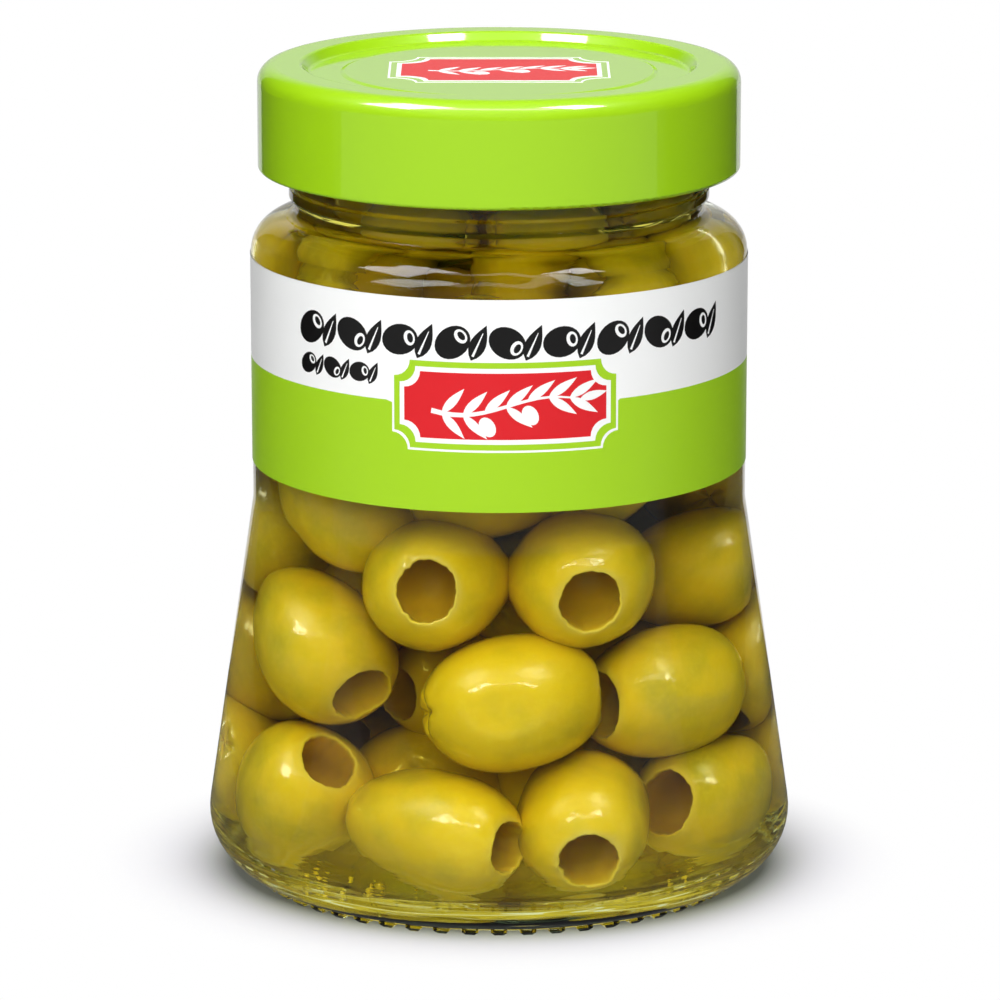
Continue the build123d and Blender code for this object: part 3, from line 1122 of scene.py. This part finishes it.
            push = (between / gaps[..., None] * overlap[..., None]).sum(1) * 0.5
            push += self.cavity.push_in(balls, radii + self.wall_gap)
            push = push.reshape(-1, 3, 3)
            centres[hand:] += push[hand:].mean(1) * self.push_share
            centres[hand:, 2] -= self.sinking
            ahead = (centres[:, 2] < self.held_back_to) & (centres[:, 1] < self.back_row)
            ahead[:hand] = False
            centres[ahead, 1] += (self.back_row - centres[ahead, 1]) * self.held_back
            tips = ways * reach[:, None] * 2 + (push[:, 2] - push[:, 0]) * 0.5
            ways[hand:] = unit(tips)[hand:]
        for olive, centre, way in zip(olives, centres, ways):
            olive.centre, olive.way = centre, way
        return olives

    def build(self) -> list[bpy.types.Object]:
        """Make the pieces: the olives in front, at the shoulder and behind, and the hidden middle.

        Returns:
            The pieces.
        """
        olives = self.settle()
        random = np.random.default_rng(self.seed + 1)
        material = self.finish.material()
        placed = self.front + self.top
        outer, hidden = [], []
        for olive in olives[placed:]:
            seen = np.hypot(*olive.centre[:2]) > self.heart or olive.centre[2] > self.heart_top
            (outer if seen else hidden).append(olive)
        pieces = []
        # Each piece's name, how many vertices it has round an olive, how many rings, and its olives.
        for name, around, rings, members in (
            ("olives_front", 72, 52, olives[: self.front]),
            ("olives_top", 52, 34, olives[self.front : placed]),
            ("olives_behind", 52, 34, outer),
            ("olives_middle", 36, 26, hidden),
        ):
            points, faces, marks, count = [], [], {"rim": [], "bore": [], "tint": []}, 0
            for olive in members:
                shape, corners, values = olive.surface(around, rings, random)
                shape = shape + self.cavity.push_in(shape, self.film)
                points.append(shape)
                faces += [tuple(v + count for v in face) for face in corners]
                for mark, value in values.items():
                    marks[mark].append(value)
                count += len(shape)
            piece = make_piece(name, np.concatenate(points), faces, [material])
            for mark, value in marks.items():
                attribute = piece.data.attributes.new(mark, "FLOAT", "POINT")
                attribute.data.foreach_set("value", np.concatenate(value).astype(np.float32))
            pieces.append(piece)
        return pieces


@dataclass
class Crumbs:
    """Bits of olive flesh that lie on the glass floor.

    Attributes:
        cavity: The inside of the jar.
        finish: What they are made of.
        count: Number of crumbs.
        seed: Seed of every random choice.
        smallest: Half the width of the smallest crumb.
        largest: Half that of the largest.
        inner: Least distance from the jar's axis.
        outer: Greatest distance.
        drifts: Azimuths round which the crumbs have gathered.
    """

    cavity: Cavity
    finish: OliveFlesh = OLIVE
    count: int = 70
    seed: int = 3
    smallest: float = 0.2
    largest: float = 0.8
    inner: float = 27.0
    outer: float = 32.5
    drifts: tuple[int, ...] = (-40, 45, 120, 200)

    def build(self) -> bpy.types.Object:
        """Make each crumb as a jagged double pyramid.

        Returns:
            The joined piece.
        """
        random = np.random.default_rng(self.seed)
        corners = np.array([[1, 0, 0], [0, 1, 0], [-1, 0, 0], [0, -1, 0], [0, 0, 1], [0, 0, -1]], float)
        sides = [(0, 1, 4), (1, 2, 4), (2, 3, 4), (3, 0, 4), (1, 0, 5), (2, 1, 5), (3, 2, 5), (0, 3, 5)]
        points, faces = [], []
        for number in range(self.count):
            size = random.uniform(self.smallest, self.largest)
            azimuth = random.choice(self.drifts) + random.normal() * 14
            radius = random.uniform(self.inner, self.outer)
            place = from_front(azimuth, radius, self.cavity.floor + size * 0.6)
            shape = corners * random.uniform(0.5, 1.2, (6, 3)) * size * [1, 1, 0.6]
            points.append(shape + place + random.normal(size=3) * [0.4, 0.4, 0])
            faces += [tuple(v + number * 6 for v in side) for side in sides]
        return make_piece(
            "olive_crumbs", np.concatenate(points), faces, [self.finish.material()]
        )


# ---- Print ---------------------------------------------------------------------------------------


@dataclass
class Shape:
    """A printed shape.

    Attributes:
        outline: Its closed outline, in rows of x and y.
        ink: What it is printed in.
    """

    outline: np.ndarray
    ink: Ink

    def holds(self, points: np.ndarray) -> np.ndarray:
        """Which points lie inside the outline.

        Args:
            points: Rows of x and y.

        Returns:
            True for each point inside.
        """
        inside = np.zeros(len(points), bool)
        for (x1, y1), (x2, y2) in zip(self.outline, np.roll(self.outline, -1, axis=0)):
            if y1 == y2:
                continue
            crosses = (y1 > points[:, 1]) != (y2 > points[:, 1])
            inside ^= crosses & (points[:, 0] < (x2 - x1) * (points[:, 1] - y1) / (y2 - y1) + x1)
        return inside


def moved(
    outline: np.ndarray, centre: tuple[float, float], turn: float = 0.0, size: float = 1.0
) -> np.ndarray:
    """Scale, turn and move an outline.

    Args:
        outline: Rows of x and y.
        centre: Where its origin goes.
        turn: Turn in degrees, anticlockwise.
        size: Scale.

    Returns:
        The new outline.
    """
    c, s = cos(radians(turn)) * size, sin(radians(turn)) * size
    return outline @ np.array([[c, s], [-s, c]]) + centre


def oval(half_width: float, half_height: float, count: int = 24) -> np.ndarray:
    """Outline of an oval about the origin."""
    angles = np.arange(count) * 2 * pi / count
    return np.stack([half_width * np.cos(angles), half_height * np.sin(angles)], 1)


def leaf(length: float, width: float) -> np.ndarray:
    """Outline of a slim pointed leaf that grows from the origin along x.

    Args:
        length: Its length.
        width: Its greatest width.

    Returns:
        Rows of x and y.
    """
    along = np.linspace(0, 1, 9)
    side = width / 2 * np.sin(pi * along**0.8)
    upper = np.stack([along * length, side], 1)
    return np.concatenate([upper, upper[-2:0:-1] * [1, -1]])


def stroke(points: np.ndarray, width: float) -> np.ndarray:
    """Outline of a line drawn along points, which gets thinner to its far end.

    Args:
        points: Rows of x and y along the line.
        width: Its width at its start.

    Returns:
        Rows of x and y.
    """
    along = unit(np.gradient(points, axis=0))
    side = np.stack([-along[:, 1], along[:, 0]], 1) * (width / 2 * np.linspace(1, 0.3, len(points)))[:, None]
    return np.concatenate([points + side, (points - side)[::-1]])


def ticket(half_width: float, half_height: float, scoop: float) -> np.ndarray:
    """Outline of a ticket: a rectangle whose corners are scooped out.

    Args:
        half_width: Half its width.
        half_height: Half its height.
        scoop: Radius of a scoop.

    Returns:
        Rows of x and y.
    """
    angles = np.radians(np.linspace(-90, -180, 7))
    corner = np.stack([half_width + scoop * np.cos(angles), half_height + scoop * np.sin(angles)], 1)
    upper = np.concatenate([corner, corner[::-1] * [-1, 1]])
    return np.concatenate([upper, upper[::-1] * [1, -1]])[::-1]


def pitted_olive(centre: tuple[float, float], turn: float, size: float) -> list[Shape]:
    """Icon of a pitted olive: a dark oval with a ring at its drilled end."""
    return [
        Shape(moved(oval(0.5, 0.4), centre, turn, size), Ink.BLACK),
        Shape(moved(oval(0.15, 0.2, 16) + [0.27, 0], centre, turn, size), Ink.PAPER),
        Shape(moved(oval(0.08, 0.13, 12) + [0.29, 0], centre, turn, size), Ink.BLACK),
    ]


def veined_leaf(centre: tuple[float, float], turn: float, size: float) -> list[Shape]:
    """Icon of a leaf: a dark blade with a pale vein."""
    vein = np.stack([np.linspace(-0.42, 0.3, 6), np.zeros(6)], 1)
    return [
        Shape(moved(leaf(1.1, 0.46) - [0.55, 0], centre, turn, size), Ink.BLACK),
        Shape(moved(stroke(vein, 0.07), centre, turn, size), Ink.PAPER),
    ]


def sprig(centre: tuple[float, float], length: float, ink: Ink) -> list[Shape]:
    """A branch with paired leaves and two olives.

    Args:
        centre: Middle of the branch.
        length: Its length.
        ink: Its ink.

    Returns:
        The shapes.
    """
    along = np.linspace(-0.5, 0.5, 15)
    stem = np.stack([along, 0.06 * np.sin(along * 5)], 1) * length + centre
    shapes = [Shape(stroke(stem, 0.035 * length), ink)]
    for number, share in enumerate((1, 3, 5, 7, 9, 11, 13)):
        lean = 48 - 3 * number
        for side in (1, -1):
            if side == -1 and number in (2, 4):
                fruit = stem[share] + np.array([0.02, -0.1]) * length
                shapes.append(Shape(moved(oval(0.072, 0.052, 18), fruit, -60, length), ink))
            else:
                blade = moved(leaf(0.23, 0.062), stem[share], side * lean, length)
                shapes.append(Shape(blade, ink))
    return shapes + [Shape(moved(leaf(0.2, 0.06), stem[-1], 12, length), ink)]


def emblem(centre: tuple[float, float], half_width: float, half_height: float) -> list[Shape]:
    """A generic seal: a red ticket with a white edge and an olive sprig, inside a thin white line.

    Args:
        centre: Its middle.
        half_width: Half the width of the outer line.
        half_height: Half its height.

    Returns:
        The shapes, from the back to the front.
    """
    scoop = half_height * 0.36
    border = 1.75
    rings = [(0.0, Ink.PAPER), (0.3, Ink.GREEN), (1.1, Ink.PAPER), (border, Ink.RED)]
    shapes = [
        Shape(moved(ticket(half_width - inset, half_height - inset, scoop), centre), ink)
        for inset, ink in rings
    ]
    return shapes + sprig(centre, (half_width - border) * 1.45, Ink.PAPER)


def divided(outline: np.ndarray, step: float = 1.0) -> np.ndarray:
    """Split the long edges of a closed outline, so that it can follow a curved wall.

    Args:
        outline: Rows of x and y.
        step: Longest edge that stays whole.

    Returns:
        The outline with more points.
    """
    points = []
    for start, end in zip(outline, np.roll(outline, -1, axis=0)):
        parts = ceil(float(np.linalg.norm(end - start)) / step)
        points += [start + (end - start) * part / parts for part in range(parts)]
    return np.array(points)


def printed(
    points: list[tuple[float, float]], shapes: list[Shape]
) -> tuple[np.ndarray, list[tuple[int, ...]], np.ndarray]:
    """Divide a flat sheet into triangles along the outlines of its print.

    Args:
        points: Points of the sheet besides the outlines.
        shapes: Printed shapes, from the back to the front.

    Returns:
        Points, triangles, and the number of the last shape that holds each triangle, or -1.
    """
    corners, edges = [Vector(p) for p in points], []
    for shape in shapes:
        outline = divided(shape.outline)
        first, count = len(corners), len(outline)
        corners += [Vector(p) for p in outline.tolist()]
        edges += [(first + i, first + (i + 1) % count) for i in range(count)]
    flat, _, faces, _, _, _ = delaunay_2d_cdt(corners, edges, [], 0, 1e-4)
    flat = np.array([tuple(p) for p in flat])
    faces = np.array(faces)
    a, b, c = (flat[faces[:, i]] for i in range(3))
    area = (b - a)[:, 0] * (c - a)[:, 1] - (b - a)[:, 1] * (c - a)[:, 0]
    faces = faces[np.abs(area) > 1e-7]
    middles = flat[faces].mean(1)
    holder = np.full(len(faces), -1)
    for number, shape in enumerate(shapes):
        holder[shape.holds(middles)] = number
    return flat, [tuple(f) for f in faces.tolist()], holder


def thickened(
    front: np.ndarray, back: np.ndarray, faces: list[tuple[int, ...]]
) -> tuple[np.ndarray, list[tuple[int, ...]]]:
    """Close a sheet: its front, its back, and a strip round every border.

    Args:
        front: Vertices of the front.
        back: Vertices of the back, in the same order.
        faces: Triangles of the front.

    Returns:
        Vertices and faces, the front's faces first.
    """
    count = len(front)
    edges = {edge for face in faces for edge in zip(face, face[1:] + face[:1])}
    border = sorted(edge for edge in edges if edge[::-1] not in edges)
    strips = [(a, a + count, b + count, b) for a, b in border]
    backs = [tuple(v + count for v in face[::-1]) for face in faces]
    return np.concatenate([front, back]), faces + backs + strips


@dataclass
class Label:
    """The paper band: white above, green below, with rows of olive and leaf icons and a seal.

    Attributes:
        radius: Outer radius of the glass behind it.
        paper: Thickness of the paper.
        overlap: Sweep of the glued overlap at the back, in degrees.
        boundary: Height at which the white field meets the green one.
        bottom: Height of its lower edge.
        top: Height of its upper edge.
        column: Sweep between two columns of its mesh, in degrees.
        row: Greatest height of a row of its mesh.
        sunk: How far it reaches into the glass, so that no air shows between them.
        lifting: Sweep over which the overlap climbs onto the other end, in degrees.
        rows: The rows of icons: left and right end, lower and upper edge, and number of each pair.
        seal: Middle of the seal, along the band and in height.
        seal_width: Half the seal's width.
        seal_height: Half its height.
    """

    radius: float = 34.14
    paper: float = 0.1
    overlap: float = 14.0
    boundary: float = 73.4
    bottom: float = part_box("label")[0].z / MM
    top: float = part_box("label")[1].z / MM
    column: float = 2.0
    row: float = 3.6
    sunk: float = 0.02
    lifting: float = 3.0
    rows: tuple[tuple[float, float, float, float, int], ...] = (
        (-30.65, 34.9, 79.15, 84.35, 9),
        (-30.3, -16.7, 75.1, 78.4, 3),
    )
    seal: tuple[float, float] = (0.9, 73.15)
    seal_width: float = 15.5
    seal_height: float = 6.25

    def at(self, azimuth: float) -> float:
        """Distance along the band of an azimuth from the front."""
        return radians(azimuth) * self.radius

    def icon_row(self, left: float, right: float, low: float, high: float, count: int) -> list[Shape]:
        """A row of pitted olives and leaves by turns.

        Args:
            left: Where the row starts, along the band.
            right: Where it ends.
            low: Its lower edge.
            high: Its upper edge.
            count: Number of icons.

        Returns:
            The shapes.
        """
        pitch, middle, size = (right - left) / count, (low + high) / 2, high - low
        shapes = []
        for number in range(count):
            start = left + pitch * number
            turn = (38, -30, 12)[number % 3]
            shapes += pitted_olive((start + pitch * 0.36, middle), turn, size)
            shapes += veined_leaf((start + pitch * 0.84, middle), 66, size * 0.92)
        return shapes

    def shapes(self) -> list[Shape]:
        """Everything printed on the paper, from the back to the front."""
        start, end, low = self.at(-180) - 1, self.at(180 + self.overlap) + 1, self.bottom - 1
        field = np.array([(start, low), (end, low), (end, self.boundary), (start, self.boundary)])
        icons = [shape for row in self.rows for shape in self.icon_row(*row)]
        return [Shape(field, Ink.GREEN), *icons, *emblem(self.seal, self.seal_width, self.seal_height)]

    def build(self) -> bpy.types.Object:
        """Wrap the printed sheet round the jar and close it.

        Returns:
            The piece.
        """
        shapes = self.shapes()
        azimuths = np.arange(-180, 180 + self.overlap + 0.1, self.column)
        below = np.linspace(self.bottom, self.boundary, ceil((self.boundary - self.bottom) / self.row) + 1)
        above = np.linspace(self.boundary, self.top, ceil((self.top - self.boundary) / self.row) + 1)
        grid = [(self.at(a), h) for a in azimuths for h in [*below, *above[1:]]]
        flat, faces, holder = printed(grid, shapes[1:])
        middles = np.array([flat[list(face)].mean(0) for face in faces])
        ground = np.where(middles[:, 1] < self.boundary, INKS.index(Ink.GREEN), INKS.index(Ink.PAPER))
        inks = np.array([INKS.index(s.ink) for s in shapes[1:]])
        shown = np.where(holder < 0, ground, inks[holder])
        angle = flat[:, 0] / self.radius
        lift = (self.paper + self.sunk) * smooth_step(np.degrees(angle), 180 - self.lifting, 180)
        sheets = []
        for reach in (self.radius + self.paper + lift, self.radius - self.sunk + lift):
            sheets.append(np.stack([reach * np.sin(angle), -reach * np.cos(angle), flat[:, 1]], 1))
        points, closed = thickened(sheets[0], sheets[1], faces)
        materials = np.concatenate([shown, np.full(len(closed) - len(faces), INKS.index(Ink.PAPER))])
        piece = make_piece(
            "paper_label", points, closed, [i.value.material() for i in INKS], materials
        )
        outward = unit(points * [1, 1, 0])
        outward[len(flat) :] *= -1
        piece.data.normals_split_custom_set_from_vertices(outward.tolist())
        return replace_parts(piece, "label")


# ---- Cap -----------------------------------------------------------------------------------------


@dataclass
class Cap:
    """The twist-off cap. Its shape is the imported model's; here it gets its lacquer and its seal.

    Attributes:
        finish: What it is made of.
        disc_drop: How far the middle disc lies below the cap's top.
        seal_width: Half the width of the seal.
        seal_depth: Half its depth.
        ink: Height of the ink over the disc.
        sunk: How far it reaches into the disc.
    """

    finish: Lacquer = GREEN_LACQUER
    disc_drop: float = 1.08
    seal_width: float = 15.1
    seal_depth: float = 10.6
    ink: float = 0.03
    sunk: float = 0.02

    def dress(self) -> bpy.types.Object:
        """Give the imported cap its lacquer.

        Returns:
            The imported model's cap.
        """
        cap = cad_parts["lid"]
        cap.data.materials.clear()
        cap.data.materials.append(self.finish.material())
        return cap

    def print_seal(self) -> bpy.types.Object:
        """Print the seal on the middle disc.

        Returns:
            The printed piece.
        """
        shapes = emblem((0.0, 0.0), self.seal_width, self.seal_depth)
        flat, faces, holder = printed([], shapes)
        kept = [i for i, number in enumerate(holder) if number >= 0 and number != 1]
        faces = [faces[i] for i in kept]
        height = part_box("lid")[1].z / MM - self.disc_drop
        sheets = [np.column_stack([flat, np.full(len(flat), height + up)]) for up in (self.ink, -self.sunk)]
        points, closed = thickened(sheets[0], sheets[1], faces)
        shown = [INKS.index(shapes[holder[i]].ink) for i in kept]
        shown += [INKS.index(Ink.PAPER)] * (len(closed) - len(faces))
        used = sorted({v for face in closed for v in face})
        renumber = {old: new for new, old in enumerate(used)}
        closed = [tuple(renumber[v] for v in face) for face in closed]
        inks = [i.value.material() for i in INKS]
        return make_piece("cap_seal", points[used], closed, inks, shown, 40)


# ---- Studio --------------------------------------------------------------------------------------


# Watts for each square metre of a lamp whose brightness is 1.
WATTS = 4.0


@dataclass
class Softbox:
    """A soft lamp that faces the jar.

    Attributes:
        name: The lamp's name.
        azimuth: Where it stands, in degrees from the front.
        elevation: How high, in degrees above the jar.
        distance: From the jar, in metres.
        width: Its width, in metres.
        height: Its height, in metres.
        brightness: Its radiance, where a white floor in full light is 1.
        mirrored: Whether glossy things mirror it.
        matt: Whether it lights what is matt.
        tint: sRGB hex colour of its light.
    """

    name: str
    azimuth: float
    elevation: float
    distance: float
    width: float
    height: float
    brightness: float
    mirrored: bool = True
    matt: bool = True
    tint: str = "#FFFFFF"

    def build(self) -> bpy.types.Object:
        """Hang the lamp.

        Returns:
            The lamp.
        """
        lamp = bpy.data.lights.new(self.name, "AREA")
        lamp.shape = "RECTANGLE"
        lamp.size, lamp.size_y = self.width, self.height
        lamp.energy = WATTS * self.brightness * self.width * self.height
        lamp.color = linear(self.tint)[:3]
        place = bpy.data.objects.new(self.name, lamp)
        way = Vector(heading(self.azimuth, self.elevation))
        place.location = way * self.distance
        place.rotation_mode = "QUATERNION"
        place.rotation_quaternion = way.to_track_quat("Z", "Y")
        place.visible_camera = False
        place.visible_glossy = place.visible_transmission = self.mirrored
        place.visible_diffuse = self.matt
        bpy.context.scene.collection.objects.link(place)
        return place


@dataclass
class Studio:
    """The table, the soft light and the camera.

    Attributes:
        lens: Focal length of the camera, in millimetres.
        distance: From the camera to its target, in millimetres.
        elevation: Of the camera, in degrees.
        target: Height that it looks at, in millimetres.
        aim_right: How far to the right of the jar's axis it looks, in millimetres.
        sensor: Width of its sensor, in millimetres.
        sky: Strength of the light from all round on what is matt.
        room_front: Strength of the room that glossy things mirror, but for its back.
        room_back: Strength of the room's back.
        back_edge: Where the back starts, as a share of the way from the middle to the back.
        through: How much stronger the room is where it is seen through glass.
        floor_size: Side of the table, in metres.
        floor_finish: What it is made of.
        flag_side: Distance of the flags to each side, in metres.
        flag_front: Where along Y they start, in metres.
        flag_back: Where they end, in metres.
        flag_height: Their height, in metres.
        lamps: The lamps.
    """

    lens: float = 198.65
    distance: float = 767.93
    elevation: float = 13.796
    target: float = 52.08
    aim_right: float = 0.125
    sensor: float = 36.0
    sky: float = 0.06
    room_front: float = 0.06
    room_back: float = 0.58
    back_edge: float = 0.78
    through: float = 2.1
    floor_size: float = 8.0
    floor_finish: Finish = STUDIO_FLOOR
    flag_side: float = 0.2
    flag_front: float = -0.04
    flag_back: float = 0.35
    flag_height: float = 0.45
    lamps: tuple[Softbox, ...] = field(
        default_factory=lambda: (
            Softbox("left_softbox", -66, 57, 1.8, 0.75, 0.85, 10.5, matt=False),
            Softbox("right_softbox", 56, 61, 1.8, 0.46, 0.66, 13.0, matt=False),
            Softbox("left_fill", -60, 50, 1.8, 0.8, 0.8, 2.0, mirrored=False),
            Softbox("right_fill", 56, 55, 1.8, 0.7, 0.7, 2.2, mirrored=False),
            Softbox("top_fill", 0, 84, 1.8, 1.2, 1.2, 2.4, mirrored=False),
            Softbox("front_key", -8, 39, 1.8, 1.6, 1.7, 3.4, mirrored=False),
            Softbox("back_fill", 174, 42, 1.8, 1.8, 1.2, 1.7, mirrored=False),
            Softbox("top_strip", -3, 64, 1.8, 1.3, 0.3, 2.5, matt=False),
            # It stands for the light that brine and glass gather on the table and that shines back.
            Softbox("foot_glow", 0, -90, -0.0003, 0.05, 0.05, 0.9, mirrored=False, tint="#DCE07A"),
        )
    )

    def stage_sheet(self, name: str, corners: list[tuple], finish: Finish) -> bpy.types.Object:
        """Make a flat sheet that belongs to the studio.

        Args:
            name: Its name.
            corners: Its four corners, in metres.
            finish: What it is made of.

        Returns:
            The sheet.
        """
        mesh = bpy.data.meshes.new(name)
        mesh.from_pydata(corners, [], [(0, 1, 2, 3)])
        mesh.materials.append(finish.material())
        sheet = bpy.data.objects.new(name, mesh)
        bpy.context.scene.collection.objects.link(sheet)
        return sheet

    def build_floor(self) -> None:
        """Lay the table top."""
        half = self.floor_size / 2
        corners = [(-half, -half, 0), (half, -half, 0), (half, half, 0), (-half, half, 0)]
        self.stage_sheet("floor", corners, self.floor_finish)

    def build_flags(self) -> None:
        """Stand a black flag at each side, which darkens the flanks of what is glossy."""
        start, end, top = self.flag_front, self.flag_back, self.flag_height
        for name, side in (("left_flag", -self.flag_side), ("right_flag", self.flag_side)):
            corners = [(side, start, 0), (side, end, 0), (side, end, top), (side, start, top)]
            flag = self.stage_sheet(name, corners, BLACK_FLAG)
            for ray in ("camera", "diffuse", "transmission", "shadow", "volume_scatter"):
                setattr(flag, f"visible_{ray}", False)

    def build_sky(self) -> None:
        """Make the world: white to the camera, weak where it lights, and brighter at the back."""
        world = bpy.data.worlds.new("studio")
        world.use_nodes = True
        tree = world.node_tree
        tree.nodes.clear()
        path = add_node(tree, "LightPath").outputs
        way = add_node(tree, "TexCoord").outputs["Generated"]
        depth = add_node(tree, "SeparateXYZ", {0: way}).outputs["Y"]
        limits = {"From Min": self.back_edge, "To Min": self.room_front, "To Max": self.room_back}
        room = add_node(tree, "MapRange", {**limits, "Value": depth}).outputs[0]
        bent = add_node(tree, "Math", {"operation": "MULTIPLY", 0: room, 1: self.through}).outputs[0]
        strength = self.sky
        for ray, seen in (("Is Glossy Ray", room), ("Is Transmission Ray", bent), ("Is Camera Ray", 1.0)):
            strength = add_node(tree, "Mix", {0: path[ray], 2: strength, 3: seen}).outputs[0]
        shader = add_node(tree, "Background", {"Color": linear("#FFFFFF"), "Strength": strength})
        add_node(tree, "OutputWorld", {"Surface": shader.outputs[0]})
        bpy.context.scene.world = world

    def build_camera(self) -> None:
        """Set up the camera."""
        lens = bpy.data.cameras.new("camera")
        lens.lens = self.lens
        lens.sensor_width = self.sensor
        camera = bpy.data.objects.new("camera", lens)
        bpy.context.scene.collection.objects.link(camera)
        aim = Vector((self.aim_right, 0, self.target)) * MM
        back = Vector(heading(0, self.elevation))
        camera.location = aim + back * self.distance * MM
        camera.rotation_mode = "QUATERNION"
        camera.rotation_quaternion = back.to_track_quat("Z", "Y")
        bpy.context.scene.camera = camera

    def build(self) -> None:
        """Set up everything round the jar."""
        bpy.context.scene.view_settings.view_transform = "Standard"
        self.build_floor()
        self.build_flags()
        self.build_sky()
        self.build_camera()
        for lamp in self.lamps:
            lamp.build()


def main() -> None:
    """Build the jar, its contents, its label and its cap, and the studio round them."""
    logging.basicConfig(level=logging.INFO, format="%(name)s: %(message)s")
    cavity = Cavity()
    cap = Cap()
    pieces = [Jar().dress(), Brine(cavity).build(), *Heap(cavity).build(), Crumbs(cavity).build()]
    pieces += [Label().build(), cap.dress(), cap.print_seal()]
    for piece in pieces:
        log.info("%s: %d faces", piece.name, len(piece.data.polygons))
    Studio().build()
    log.info("studio ready")


if __name__ == "__main__":
    main()
